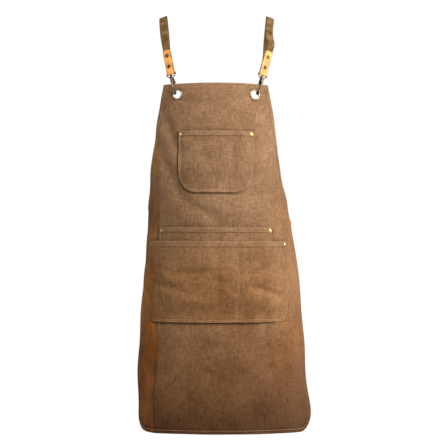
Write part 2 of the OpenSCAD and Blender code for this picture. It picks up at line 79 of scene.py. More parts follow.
def paper_sweep(width, depth, height, bend, floor):
    """A floor that turns up into a wall: a straight run, a quarter circle and a straight rise,
    carried across the width."""
    angles = np.radians(np.linspace(0, 90, 16))
    profile = [(-depth, floor)]
    profile += [(depth - bend + bend*math.sin(a), floor + bend - bend*math.cos(a)) for a in angles]
    profile += [(depth, floor + height)]
    points = [(x, y, z) for y, z in profile for x in (-width, width)]
    faces = [(2*i, 2*i + 1, 2*i + 3, 2*i + 2) for i in range(len(profile) - 1)]
    mesh = bpy.data.meshes.new("paper")
    mesh.from_pydata(points, [], faces)
    mesh.polygons.foreach_set("use_smooth", [True]*len(faces))
    return mesh


paper = bpy.data.objects.new("paper", paper_sweep(9, 6, 7, 2, -1.6))
scene.collection.objects.link(paper)
paper_material = bpy.data.materials.new("paper")
paper_material.use_nodes = True
tree, shader, add = nodes_of(paper_material)
shader.inputs["Base Color"].default_value = (0.82, 0.82, 0.82, 1)
shader.inputs["Roughness"].default_value = 0.95
seen = add("ShaderNodeLightPath")
glow = add("ShaderNodeEmission")
glow.inputs["Strength"].default_value = 1.02
either = add("ShaderNodeMixShader")
tree.links.new(seen.outputs["Is Camera Ray"], either.inputs["Fac"])
tree.links.new(shader.outputs["BSDF"], either.inputs[1])
tree.links.new(glow.outputs["Emission"], either.inputs[2])
tree.links.new(either.outputs["Shader"], tree.nodes["Material Output"].inputs["Surface"])
paper.data.materials.append(paper_material)

world = bpy.data.worlds.new("studio")
world.use_nodes = True
world.node_tree.nodes["Background"].inputs["Color"].default_value = (1, 1, 1, 1)
world.node_tree.nodes["Background"].inputs["Strength"].default_value = 0.22
scene.world = world


def soft_light(name, place, target, size, power):
    """A square area light that looks from its place at a target."""
    data = bpy.data.lights.new(name, "AREA")
    data.size = size
    data.energy = power
    light = bpy.data.objects.new(name, data)
    light.location = place
    light.rotation_euler = (Vector(target) - Vector(place)).to_track_quat("-Z", "Y").to_euler()
    scene.collection.objects.link(light)


soft_light("key", (1.00, -1.35, 0.72), (0, -0.1, -0.25), 0.7, 48)
soft_light("fill", (-1.3, -2.6, 0.3), (0, 0, -0.5), 1.6, 35)
soft_light("rim", (2.0, 0.3, -0.2), (0.1, 0, -0.5), 1.2, 46)


# ---- Canvas: how the cloth hangs
# One sheet of waxed cotton duck, bent round the body at four levels. Everything sewn to it is
# placed by its distance s across from the middle and t down from the bib's top edge.

panel_length = 0.875
panel_half = 0.330
bib_half = 0.140
armhole = 0.330
hem_radius = 0.065
cloth = 0.0012
levels = np.array([0, 0.55*armhole, armhole + 0.030, panel_length])
front_radius = [0.232, 0.214, 0.204, 0.263]
left_radius = [0.210, 0.210, 0.250, 0.650]
left_turn = [0, 15, 15, 29]
right_turn = [0, 20, 3, 1]
depths = [-0.118, -0.1435, -0.151, -0.176]
eyelets = [(-0.101, 0.027), (0.101, 0.027)]
rivet_spots = ((0.091, 0.1275), (0.1485, 0.3695), (0.2075, 0.4045), (0.304, 0.3483))
rivets = [(side*s, t) for s, t in rivet_spots for side in (-1, 1)]


def ease(u):
    """0 before 0, 1 after 1, and a smooth cubic between."""
    c = np.clip(u, 0, 1)
    return c*c*(3 - 2*c)


def at_level(values, t):
    """The value at a drop t: cubic pieces through one value at each level, whose slope at a level
    is the slope between its two neighbours."""
    v = np.array(values, float)
    low = [0, 0, 1, 2]
    high = [1, 2, 3, 3]
    slope = (v[high] - v[low])/(levels[high] - levels[low])
    i = np.clip(np.searchsorted(levels, t, side="right") - 1, 0, 2)
    w = levels[i + 1] - levels[i]
    u = np.clip((t - levels[i])/w, 0, 1)
    return ((2*u**3 - 3*u**2 + 1)*v[i] + (u**3 - 2*u**2 + u)*w*slope[i]
            + (3*u**2 - 2*u**3)*v[i + 1] + (u**3 - u**2)*w*slope[i + 1])


def half_width(t):
    """Half the flat width at a drop t: a straight slope that sweeps out to the side, then a
    quarter circle at the hem."""
    sweep = panel_half - bib_half - 0.28*armhole
    bib = bib_half + 0.28*t + sweep*(np.minimum(t, armhole)/armhole)**5
    over = np.maximum(t - panel_length + hem_radius, 0)
    skirt = panel_half - hem_radius + np.sqrt(np.maximum(hem_radius**2 - over**2, 0))
    return np.where(t < armhole, bib, skirt)


def along(x, y, heading, bend, run):
    """Carries a point and its heading on round an arc, with the bend in radians a metre."""
    after = heading + bend*run
    return x + (np.sin(after) - np.sin(heading))/bend, y + (np.cos(heading) - np.cos(after))/bend, after


def across(s, t):
    """Place and heading at a distance s across: three arcs end to end. The middle one is a crease
    on the left and a wide turn on the right."""
    left = s < 0
    a = np.maximum(np.abs(s), 1e-6)
    start = np.where(left, 0.151, 0.110)
    run = np.where(left, 0.014, 0.090)
    turn = np.radians(np.where(left, at_level(left_turn, t), at_level(right_turn, t)))
    front = 1/at_level(front_radius, t)
    last = np.where(left, 1/at_level(left_radius, t), front)
    zero = np.zeros_like(a)
    x, y, h = along(zero, zero, zero, front, np.minimum(a, start))
    x, y, h = along(x, y, h, front + turn/run, np.clip(a - start, 0, run))
    x, y, h = along(x, y, h, last, np.maximum(a - start - run, 0))
    side = np.where(left, -1, 1)
    return side*x, y, side*h


def dent(s, t, middle, size, slant, depth):
    """A long shallow hollow or ridge: a bell curve along and across a slanted line."""
    c, d = math.cos(math.radians(slant)), math.sin(math.radians(slant))
    u = ((s - middle[0])*c + (t - middle[1])*d)/size[0]
    v = ((t - middle[1])*c - (s - middle[0])*d)/size[1]
    return depth*np.exp(-u*u - v*v)


calm_reach = 0.022


def calm(s, t):
    """0 at rivets, eyelets and the waist corners, where the cloth is held flat, and 1 away from them."""
    quiet = np.ones_like(s)
    for a, b in rivets + eyelets:
        quiet = quiet*(1 - np.exp(-((s - a)**2 + (t - b)**2)/calm_reach**2))
    return quiet


waves = np.random.default_rng(7)
wave_height = 0.00065
wave_list = [(waves.uniform(14, 60), waves.uniform(4, 40), waves.uniform(0, 2*math.pi)) for k in range(14)]


def crumple(s, t):
    """The cloth's unevenness: slack folds down the bib and skirt, and a handful of faint waves of
    mixed lengths."""
    h = np.zeros_like(s)
    for k, (a, b, phase) in enumerate(wave_list):
        h = h + wave_height*np.sin(a*s + (b if k % 2 else -b)*t + phase)
    h = h + dent(s, t, (-0.118, 0.125), (0.060, 0.016), 62, -0.0068)
    h = h + dent(s, t, (-0.122, 0.225), (0.085, 0.018), 58, -0.0078)
    h = h + dent(s, t, (-0.030, 0.322), (0.070, 0.014), 28, -0.0062)
    h = h + dent(s, t, (0.075, 0.315), (0.060, 0.016), -20, 0.0034)
    h = h + dent(s, t, (0.150, 0.200), (0.070, 0.018), -68, 0.0040)
    h = h + dent(s, t, (0.135, 0.640), (0.140, 0.022), 82, -0.0048)
    h = h + dent(s, t, (0.060, 0.760), (0.130, 0.026), 86, 0.0042)
    h = h + dent(s, t, (-0.070, 0.730), (0.130, 0.030), 94, -0.0046)
    h = h + dent(s, t, (0.215, 0.720), (0.150, 0.026), 84, 0.0044)
    return h*calm(s, t)


def cloth_point(s, t, d=0.0):
    """The place of the cloth's back at s, t, moved out by d: the bent line at that drop, carried to
    the front's depth, with sides that sag and a top edge that rises in the middle."""
    s, t = np.broadcast_arrays(np.asarray(s, float), np.asarray(t, float))
    x, y, h = across(s, t)
    out = d + crumple(s, t)
    sag = 0.014*(s/panel_half)**2*ease((t - 0.57*panel_length)/(0.43*panel_length))
    crown = 0.003*(1 - np.minimum(1, (s/bib_half)**2))*np.maximum(0, 1 - t/0.060)
    z = -0.181 - t - sag + crown
    return np.stack([x + out*np.sin(h), y - out*np.cos(h) + at_level(depths, t), z], axis=-1)


def edge_distance(s, t):
    """How far a spot of the panel lies inside its cut edge, near enough: the least of the distances
    to the top, a side, a rounded corner and the hem."""
    slope = (half_width(t + 0.001) - half_width(t - 0.001))/0.002
    straight = t < panel_length - hem_radius
    side = (half_width(t) - np.abs(s))/np.sqrt(1 + np.where(straight, slope, 0)**2)
    cx = np.abs(s) - panel_half + hem_radius
    cz = t - panel_length + hem_radius
    corner = np.where((cx > 0) & (cz > 0), hem_radius - np.hypot(cx, cz), 1)
    return np.maximum(np.minimum(np.minimum(side, t), np.minimum(corner, panel_length - t)), 0)


# ---- Pockets: their cut
# Three patches of the same canvas. The chest pocket has rounded corners and a pen slot, and the
# lower waist pocket lies over the upper one.

def hem_rise(e, width, rise):
    """How much thicker a folded edge is at a distance e inside the edge: a band that steps down
    past the fold, with a groove where it is sewn."""
    band = rise*(1 - ease((e - width)/0.0014))
    groove = 0.0004*np.exp(-((e - width + 0.0022)/0.0009)**2)
    return band - groove


def pressed(s, t):
    """0 under a rivet's cap, where all layers are squeezed flat, and 1 beyond it."""
    free = np.ones_like(s)
    for a, b in rivets:
        free = free*ease((np.hypot(s - a, t - b) - 0.0046)/0.0040)
    return free


seam_inset = 0.009
slack = 0.0088


def belly(s, a, b):
    """0 at a and b and beyond, and a rounded hump between them."""
    u = np.clip((s - a)/(b - a), 0, 1)
    return np.sin(math.pi*u)**0.6


def swell(s, t, half, seam, foot):
    """How far a pocket stands off: a hump on each side of its seam that dies away at its foot."""
    e = half - seam_inset
    left, right = min(1, (seam + e)/0.11), min(1, (e - seam)/0.11)
    hump = np.where(s < seam, left*belly(s, -e, seam), right*belly(s, seam, e))
    return hump*ease((foot - seam_inset - t)/0.045)


class Pocket:
    """A pocket's flat cut and how it stands off the cloth behind it."""

    def __init__(self, half, radius, top, foot, seam, wrinkles, under=None):
        """Half its width, its corners' radius, the drops of its mouth and foot, where its seam is
        across, its wrinkles as dents, and a pocket that it lies over."""
        self.half, self.radius, self.top, self.foot = half, radius, top, foot
        self.seam, self.wrinkles, self.under = seam, wrinkles, under

    def bottom(self, s, inset=0.0):
        """The drop of the foot at s: straight, with a quarter circle at each corner."""
        r = self.radius - inset
        over = np.maximum(np.abs(s) - (self.half - self.radius), 0)
        return self.foot - self.radius + np.sqrt(np.maximum(r*r - np.minimum(over, r)**2, 0))

    def edge(self, s, t):
        """How far inside the sides and foot a spot lies."""
        cx = np.abs(s) - self.half + self.radius
        cz = t - self.foot + self.radius
        corner = np.where((cx > 0) & (cz > 0), self.radius - np.hypot(cx, cz), 1)
        return np.maximum(np.minimum(np.minimum(self.half - np.abs(s), self.foot - t), corner), 0)

    def beyond(self, s, t):
        """How far outside the sides and foot a spot lies, and less than 0 inside them."""
        cx = np.maximum(np.abs(s) - self.half + self.radius, 0)
        cz = np.maximum(t - self.foot + self.radius, 0)
        return np.hypot(cx, cz) - self.radius

    def lift(self, s, t):
        """How far the pocket's back stands off the panel's back."""
        rise = swell(s, t, self.half, self.seam, self.foot)
        crease = np.zeros_like(rise)
        for middle, size, slant, depth in self.wrinkles:
            crease = crease + dent(s, t, middle, size, slant, depth)
        base = cloth + 0.00015 + slack*rise + crease*np.minimum(1, 1.6*rise)
        if self.under is not None:
            over = 1 - ease((np.abs(s) - self.under.half - 0.003)/0.012)
            base = base + over*(cloth + 0.0003) + self.under.lift(s, t) - cloth - 0.00015
        return base

    def face(self, s, t):
        """The lift of the pocket's front, where its hems are thicker."""
        return self.lift(s, t) + self.thickness(s, t)

    def thickness(self, s, t):
        """One layer, two round the sides and foot, and three at the mouth."""
        sides = hem_rise(self.edge(s, t), 0.0088, 0.0006)
        mouth = hem_rise(t - self.top, 0.0122, 0.0010)
        return cloth + np.maximum(np.maximum(sides, mouth), -0.0003)*pressed(s, t)

    def outline(self, inset, start):
        """The sides and foot moved in by an inset, from a drop of start on the left to the right."""
        angle = np.radians(np.linspace(0, 90, 18))
        r = self.radius - inset
        side_t = np.linspace(self.top + start, self.foot - self.radius, 40)
        half_s = np.concatenate([np.full(40, self.half - inset), self.half - self.radius + r*np.cos(angle)])
        half_t = np.concatenate([side_t, self.foot - self.radius + r*np.sin(angle)])
        bottom = np.linspace(-(self.half - self.radius), self.half - self.radius, 70)[1:-1]
        return (np.concatenate([-half_s, bottom, half_s[::-1]]),
                np.concatenate([half_t, np.full(68, self.foot - inset), half_t[::-1]]))


chest = Pocket(0.0975, 0.050, 0.119, 0.274, 0.042, [
    ((-0.020, 0.200), (0.050, 0.013), 70, -0.0036), ((0.010, 0.232), (0.050, 0.011), -8, -0.0022),
    ((-0.055, 0.165), (0.030, 0.012), 60, 0.0012)])
upper = Pocket(0.155, 0.035, 0.361, 0.589, 0.008, [((0.030, 0.385), (0.060, 0.010), 4, -0.0012)])
lower = Pocket(0.214, 0.035, 0.396, 0.599, 0.054, [
    ((-0.135, 0.502), (0.060, 0.010), 18, -0.0072), ((-0.110, 0.530), (0.060, 0.010), 8, 0.0034),
    ((-0.050, 0.475), (0.070, 0.010), -4, -0.0056), ((0.010, 0.497), (0.050, 0.009), 10, -0.0042),
    ((0.105, 0.470), (0.040, 0.009), -22, -0.0060), ((0.125, 0.520), (0.050, 0.010), 14, -0.0070),
    ((0.140, 0.492), (0.040, 0.009), -14, 0.0034), ((-0.020, 0.545), (0.080, 0.012), -4, 0.0028)], upper)

# ---- Canvas: its material
# Plain-woven duck in brown, rubbed with wax: pale and dark threads, a slow mottle where the wax
# lies thicker, and lighter rubbed edges. Light and shade are painted into the colour as well:
# painted shade beside the pockets, round the eyelets, along the hems and the left crease and
# towards the bottom, a painted highlight beside that crease, and a darker orange painted shade on
# the side strip that turns away from the light.

def new_group(name, outputs):
    """An empty node group with the given outputs, and the node that they come out of."""
    group = bpy.data.node_groups.new(name, "ShaderNodeTree")
    for label, kind in outputs:
        group.interface.new_socket(label, in_out="OUTPUT", socket_type=kind)
    return group, group.nodes.new("NodeGroupOutput")


def maths(tree, operation, first, second=None):
    """A maths node: each operand is a number or another node's output."""
    node = tree.nodes.new("ShaderNodeMath")
    node.operation = operation
    for socket, value in zip(node.inputs, (first, second)):
        if isinstance(value, (int, float)):
            socket.default_value = value
        elif value is not None:
            tree.links.new(value, socket)
    return node.outputs[0]


def noise(tree, vector, scale, detail=3.0, roughness=0.55, stretch=(1, 1, 1)):
    """Noise from 0 to 1 over a vector that is stretched first."""
    mapping = tree.nodes.new("ShaderNodeMapping")
    mapping.inputs["Scale"].default_value = stretch
    tree.links.new(vector, mapping.inputs["Vector"])
    node = tree.nodes.new("ShaderNodeTexNoise")
    node.inputs["Scale"].default_value = scale
    node.inputs["Detail"].default_value = detail
    node.inputs["Roughness"].default_value = roughness
    tree.links.new(mapping.outputs["Vector"], node.inputs["Vector"])
    return node.outputs["Fac"]


def ramp(tree, value, *stops):
    """A colour ramp through (place, colour) stops."""
    node = tree.nodes.new("ShaderNodeValToRGB")
    elements = node.color_ramp.elements
    while len(elements) < len(stops):
        elements.new(0.5)
    for element, (place, colour) in zip(elements, stops):
        element.position = place
        element.color = (*colour, 1)
    tree.links.new(value, node.inputs["Fac"])
    return node.outputs["Color"]


def mixed(tree, factor, a, b, blend="MIX"):
    """Two colours mixed by a factor, each of the three a value or another node's output."""
    node = tree.nodes.new("ShaderNodeMix")
    node.data_type = "RGBA"
    node.blend_type = blend
    for name, value in (("Factor_Float", factor), ("A_Color", a), ("B_Color", b)):
        socket = next(s for s in node.inputs if s.identifier == name)
        if isinstance(value, bpy.types.NodeSocket):
            tree.links.new(value, socket)
        else:
            socket.default_value = value if name == "Factor_Float" else (*value, 1)
    return next(s for s in node.outputs if s.identifier == "Result_Color")


def tinted(tree, factor, colour, tint):
    """A colour multiplied by a tint, by a factor."""
    return mixed(tree, factor, colour, mixed(tree, 1.0, colour, tint, "MULTIPLY"))


def bumped(tree, height, strength, distance, normal=None):
    """A bump from a height from 0 to 1, on top of another normal if one is given."""
    node = tree.nodes.new("ShaderNodeBump")
    node.inputs["Strength"].default_value = strength
    node.inputs["Distance"].default_value = distance
    tree.links.new(height, node.inputs["Height"])
    if normal is not None:
        tree.links.new(normal, node.inputs["Normal"])
    return node.outputs["Normal"]


def attribute(tree, name):
    """The value of one of the mesh's own attributes."""
    node = tree.nodes.new("ShaderNodeAttribute")
    node.attribute_name = name
    return node.outputs["Fac"]


weave_group, weave_out = new_group(
    "duck_weave", [("Threads", "NodeSocketFloat"), ("Slubs", "NodeSocketFloat"),
                   ("Streaks", "NodeSocketFloat"), ("Normal", "NodeSocketVector")])
coordinates = weave_group.nodes.new("ShaderNodeTexCoord")
parts = weave_group.nodes.new("ShaderNodeSeparateXYZ")
weave_group.links.new(coordinates.outputs["UV"], parts.inputs["Vector"])
thread_pitch = 0.00062
warp = maths(weave_group, "SINE", maths(weave_group, "MULTIPLY", parts.outputs["X"], math.pi/thread_pitch))
weft = maths(weave_group, "SINE", maths(weave_group, "MULTIPLY", parts.outputs["Y"], math.pi/thread_pitch))
over_under = maths(weave_group, "MULTIPLY_ADD", maths(weave_group, "MULTIPLY", warp, weft), 0.5)
over_under.node.inputs[2].default_value = 0.5
warp_slubs = noise(weave_group, coordinates.outputs["UV"], 1, 2.0, 0.6, (900, 60, 1))
weft_slubs = noise(weave_group, coordinates.outputs["UV"], 1, 2.0, 0.6, (55, 700, 1))
slubs = maths(weave_group, "MULTIPLY", maths(weave_group, "ADD", warp_slubs, weft_slubs), 0.5)
warp_streaks = noise(weave_group, coordinates.outputs["UV"], 1, 2.0, 0.7, (340, 40, 1))
weft_streaks = noise(weave_group, coordinates.outputs["UV"], 1, 2.0, 0.7, (36, 300, 1))
streaks = maths(weave_group, "MULTIPLY", maths(weave_group, "ADD", warp_streaks, weft_streaks), 0.5)
fine = bumped(weave_group, over_under, 0.55, 0.0003)
coarse = bumped(weave_group, slubs, 0.5, 0.0006, fine)
weave_group.links.new(over_under, weave_out.inputs["Threads"])
weave_group.links.new(slubs, weave_out.inputs["Slubs"])
weave_group.links.new(streaks, weave_out.inputs["Streaks"])
weave_group.links.new(coarse, weave_out.inputs["Normal"])


def canvas_material(name, dark, middle, pale, seed):
    """Waxed duck: three browns by mottle and slub, redder where the 'warm' attribute says, a darker
    orange where the side strip turns from the light, a painted shadow tint, paler at rubbed edges
    and along a painted highlight, and darker where shadows are painted."""
    material = bpy.data.materials.new(name)
    material.use_nodes = True
    tree, shader, add = nodes_of(material)
    weave = add("ShaderNodeGroup")
    weave.node_tree = weave_group
    place = add("ShaderNodeTexCoord").outputs["Object"]
    broad = noise(tree, place, 7, 4.0, 0.6, (1, 1, 1.3))
    blotch = noise(tree, place, 26 + seed, 5.0, 0.62)
    rubbed = noise(tree, place, 150, 3.0, 0.7, (1, 1, 0.55))
    heather = noise(tree, place, 420, 2.0, 0.7, (1, 1, 0.35))
    mottle = maths(tree, "ADD", maths(tree, "MULTIPLY", broad, 0.44), maths(tree, "MULTIPLY", blotch, 0.22))
    mottle = maths(tree, "ADD", mottle, maths(tree, "MULTIPLY", rubbed, 0.34))
    colour = ramp(tree, mottle, (0.37, dark), (0.50, middle), (0.63, pale))
    speck = ramp(tree, heather, (0.32, (0.78, 0.77, 0.75)), (0.68, (1.20, 1.20, 1.22)))
    colour = mixed(tree, 0.8, colour, speck, "MULTIPLY")
    threads = ramp(tree, weave.outputs["Threads"], (0.1, (0.72, 0.70, 0.68)), (0.9, (1.12, 1.12, 1.12)))
    colour = mixed(tree, 0.7, colour, threads, "MULTIPLY")
    slub = ramp(tree, weave.outputs["Slubs"], (0.36, (0.82, 0.81, 0.80)), (0.64, (1.18, 1.18, 1.18)))
    colour = mixed(tree, 0.85, colour, slub, "MULTIPLY")
    streak = ramp(tree, weave.outputs["Streaks"], (0.38, (0.80, 0.79, 0.77)), (0.62, (1.20, 1.20, 1.20)))
    colour = mixed(tree, 0.9, colour, streak, "MULTIPLY")
    colour = tinted(tree, attribute(tree, "warm"), colour, (1.06, 0.86, 0.58))
    # A darker, more orange tint on the side strip that turns away from the light: painted shade.
    shaded_side_orange = ramp(tree, broad, (0.38, (1.06, 0.76, 0.34)), (0.62, (1.46, 1.06, 0.44)))
    colour = tinted(tree, attribute(tree, "tan"), colour, shaded_side_orange)
    # Painted shade: shadows beside the pockets and round the eyelets, shade lines along the hems and the
    # left crease, and darker towards the bottom.
    colour = tinted(tree, attribute(tree, "painted_shade"), colour, (0.20, 0.16, 0.13))
    # Paler: rubbed edges, which is wear, and a painted highlight beside the left crease.
    colour = tinted(tree, attribute(tree, "wear_and_highlight"), colour, (1.55, 1.5, 1.42))
    tree.links.new(colour, shader.inputs["Base Color"])
    waxiness = maths(tree, "MULTIPLY_ADD", mottle, -0.35)
    waxiness.node.inputs[2].default_value = 0.94
    tree.links.new(waxiness, shader.inputs["Roughness"])
    tree.links.new(weave.outputs["Normal"], shader.inputs["Normal"])
    shader.inputs["Specular IOR Level"].default_value = 0.12
    return material


panel_canvas = canvas_material(
    "waxed_canvas", (0.152, 0.076, 0.034), (0.224, 0.122, 0.060), (0.300, 0.174, 0.092), 0)
pocket_canvas = canvas_material(
    "pocket_canvas", (0.158, 0.080, 0.036), (0.230, 0.127, 0.062), (0.306, 0.178, 0.094), 9)


# ---- Front panel
# One piece of canvas with its edges folded twice and sewn down, so it is thicker round its rim.
# Two eyelets pass through it, and the straps' lower ends are riveted inside its waist corners.

edge_steps = np.array([0, 0.0004, 0.0012, 0.0026, 0.0048])


def graded(low, high, count):
    """Places from low to high, even in the middle and close together at both ends."""
    inner = edge_steps[-1] + 0.002
    middle = np.linspace(0, 1, count)
    low, high = np.broadcast_arrays(np.asarray(low, float), np.asarray(high, float))
    parts = [low[..., None] + edge_steps,
             (low + inner)[..., None] + (high - low - 2*inner)[..., None]*middle,
             high[..., None] - edge_steps[::-1]]
    return np.concatenate(parts, axis=-1)


def skin(name, front, back, keep, spots, marks, material):
    """A closed skin between two grids of points: faces on both, and a strip wherever a kept cell
    has no kept neighbour. spots are the flat places for the weave, marks the named attributes,
    which are faint on the back."""
    rows, cols = front.shape[:2]
    index = np.arange(rows*cols).reshape(rows, cols)
    behind = rows*cols
    a, b, c, d = index[:-1, :-1], index[:-1, 1:], index[1:, 1:], index[1:, :-1]
    rim = np.pad(keep, 1)
    faces = [np.stack([a, d, c, b], -1)[keep], np.stack([a, b, c, d], -1)[keep] + behind]
    sides = ((rim[:-2, 1:-1], a, b), (rim[1:-1, :-2], d, a),
             (rim[2:, 1:-1], c, d), (rim[1:-1, 2:], b, c))
    for open_side, p, q in sides:
        edge = keep & ~open_side
        faces.append(np.stack([p, q, q + behind, p + behind], -1)[edge])
    faces = np.concatenate(faces)
    used = np.unique(faces)
    renumber = np.zeros(2*behind, int)
    renumber[used] = np.arange(len(used))
    faces = renumber[faces]
    points = np.concatenate([front.reshape(-1, 3), back.reshape(-1, 3)])[used]
    flat = np.concatenate([spots.reshape(-1, 2)]*2)[used]
    mesh = bpy.data.meshes.new(name)
    mesh.from_pydata(points, [], faces)
    mesh.polygons.foreach_set("use_smooth", np.ones(len(faces), bool))
    weave_map = mesh.uv_layers.new(name="flat")
    weave_map.data.foreach_set("uv", flat[faces.ravel()].ravel())
    for label, values in marks.items():
        layer = mesh.attributes.new(label, "FLOAT", "POINT")
        both = np.concatenate([values.ravel(), 0.2*values.ravel()])
        layer.data.foreach_set("value", both[used].astype(np.float32))
    mesh.materials.append(material)
    mesh.update()
    piece = bpy.data.objects.new(name, mesh)
    scene.collection.objects.link(piece)
    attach(piece, "root")
    return piece


def rolled(e, thickness):
    """Half the thickness at a distance e inside the edge, rounded off like a fold."""
    u = np.clip(e/0.0016, 0, 1)
    return thickness/2*np.sqrt(np.clip(1 - (1 - u)**2*0.9, 0.1, 1))


plain_rows = graded(0.0, panel_length, 212)
corner_rows = panel_length - hem_radius + hem_radius*np.sin(np.radians(np.arange(9, 72, 9)))
t_rows = np.unique(np.round(np.concatenate([plain_rows, corner_rows]), 6))
s = graded(-half_width(t_rows), half_width(t_rows), 158)
t = np.broadcast_to(t_rows[:, None], s.shape).copy()

hole = 0.01115
reach = 0.024
keep = np.ones((s.shape[0] - 1, s.shape[1] - 1), bool)
for a, b in eyelets:
    r = np.hypot(s - a, t - b)
    inside = r < 0.0078
    corners = inside[:-1, :-1] | inside[:-1, 1:] | inside[1:, 1:] | inside[1:, :-1]
    keep &= ~corners
    touched = np.zeros_like(inside)
    for rows in (slice(None, -1), slice(1, None)):
        for cols in (slice(None, -1), slice(1, None)):
            touched[rows, cols] |= corners
    ring = touched & ~inside
    outer = (r < reach) & ~touched
    near = 0.0118
    spread = hole + 0.0012 + (r - near)*(reach - hole - 0.0012)/(reach - near)
    moved = np.where(ring, hole, np.where(outer, spread, r))
    moved = np.where(outer, np.maximum(moved, hole + 0.0010), moved)
    push = np.where(inside, 1.0, moved/np.maximum(r, 1e-6))
    s, t = a + (s - a)*push, b + (t - b)*push

e = edge_distance(s, t)
pucker = 0.00022*np.sin(2*math.pi*(s + 0.7*t)/0.0105)*np.exp(-((e - 0.0085)/0.005)**2)
thick = cloth + np.maximum(hem_rise(e, 0.0108, 0.0009), -0.0003)
half_thick = rolled(e, thick)
front = cloth_point(s, t, thick - (thick/2 - half_thick) + pucker)
back = cloth_point(s, t, thick/2 - half_thick + pucker)
# A painted highlight: a pale line just right of the left crease. crease_shadow below is painted shade, a
# dark line just left of it.
crease = np.exp(-((s + 0.1560)/0.0032)**2)*ease((t - 0.20)/0.15)
# Painted shadow: dark bands just outside each pocket's sides and foot, weaker on the lit right, a dark line
# under each pocket's mouth, and a dark ring round each eyelet.
painted_shadow = np.zeros_like(s)
for pocket in (chest, upper, lower):
    gap = pocket.beyond(s, t)
    beside = np.exp(-((gap - 0.0012)/0.0034)**2)*(t > pocket.top)*(gap > -0.003)
    lit = ease((s - 0.3*pocket.half)/(0.6*pocket.half))
    painted_shadow = np.maximum(painted_shadow, beside*(1 - 0.75*lit))
    mouth = np.exp(-((t - pocket.top + 0.0006)/0.0016)**2)*(np.abs(s) < pocket.half)
    painted_shadow = np.maximum(painted_shadow, 0.55*mouth)
for a, b in eyelets:
    painted_shadow = np.maximum(painted_shadow, 0.95*np.exp(-((np.hypot(s - a, t - b) - 0.0149)/0.0012)**2))
# The side strip beyond the left crease turns away from the light and gets a painted-shade tint, darker and
# more orange; ridge is a pale line down it.
strip = ease((-0.158 - s)/0.010)*(0.40*ease((t - 0.06)/0.12) + 0.60*ease((t - 0.30)/0.20))
ridge = np.exp(-((s + 0.190 + 0.004*np.sin(9*t))/0.006)**2)
crease_shadow = np.exp(-((s + 0.1640)/0.0026)**2)*ease((t - 0.18)/0.15)
# Painted shade also lies in a line just inside the hem band and darkens the lower part, less on the side
# strip. The lower part and the right side are made redder, and a pale line follows the hem band's inner
# edge.
marks = {
    "wear_and_highlight": np.clip(0.40*np.exp(-(e/0.0016)**2) + 0.30*crease + 0.30*strip*ridge
                    + 0.12*np.exp(-((e - 0.0108)/0.0012)**2), 0, 1),
    "painted_shade": np.clip(0.45*np.exp(-((e - 0.0124)/0.0010)**2) + painted_shadow + 0.35*crease_shadow
                     + 0.08*ease((t - 0.36)/0.1) + 0.78*ease((t - 0.54)/0.36)*(1 - 0.45*strip), 0, 1),
    "warm": np.clip(0.5*ease((s - 0.13)/0.08)*ease((t - 0.15)/0.2) + 0.8*ease((t - 0.45)/0.35), 0, 1),
    "tan": strip}
panel = skin("front_canvas", front, back, keep, np.stack([s, -t], -1), marks, panel_canvas)
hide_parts("front_panel")


# ---- Stitching on canvas
# Stout cotton thread, one short float after another, pulled a little into the cloth at each end.

def canvas_thread_material():
    """Twisted cotton: a fine mottle over a dull pale brown."""
    material = bpy.data.materials.new("thread")
    material.use_nodes = True
    tree, shader, add = nodes_of(material)
    place = add("ShaderNodeTexCoord").outputs["Object"]
    ply = noise(tree, place, 900, 2.0, 0.5, (1, 1, 1))
    colour = ramp(tree, ply, (0.35, (0.210, 0.118, 0.050)), (0.65, (0.400, 0.250, 0.120)))
    tree.links.new(colour, shader.inputs["Base Color"])
    tree.links.new(bumped(tree, ply, 0.4, 0.0002), shader.inputs["Normal"])
    shader.inputs["Roughness"].default_value = 0.7
    shader.inputs["Sheen Weight"].default_value = 0.2
    return material


thread = canvas_thread_material()


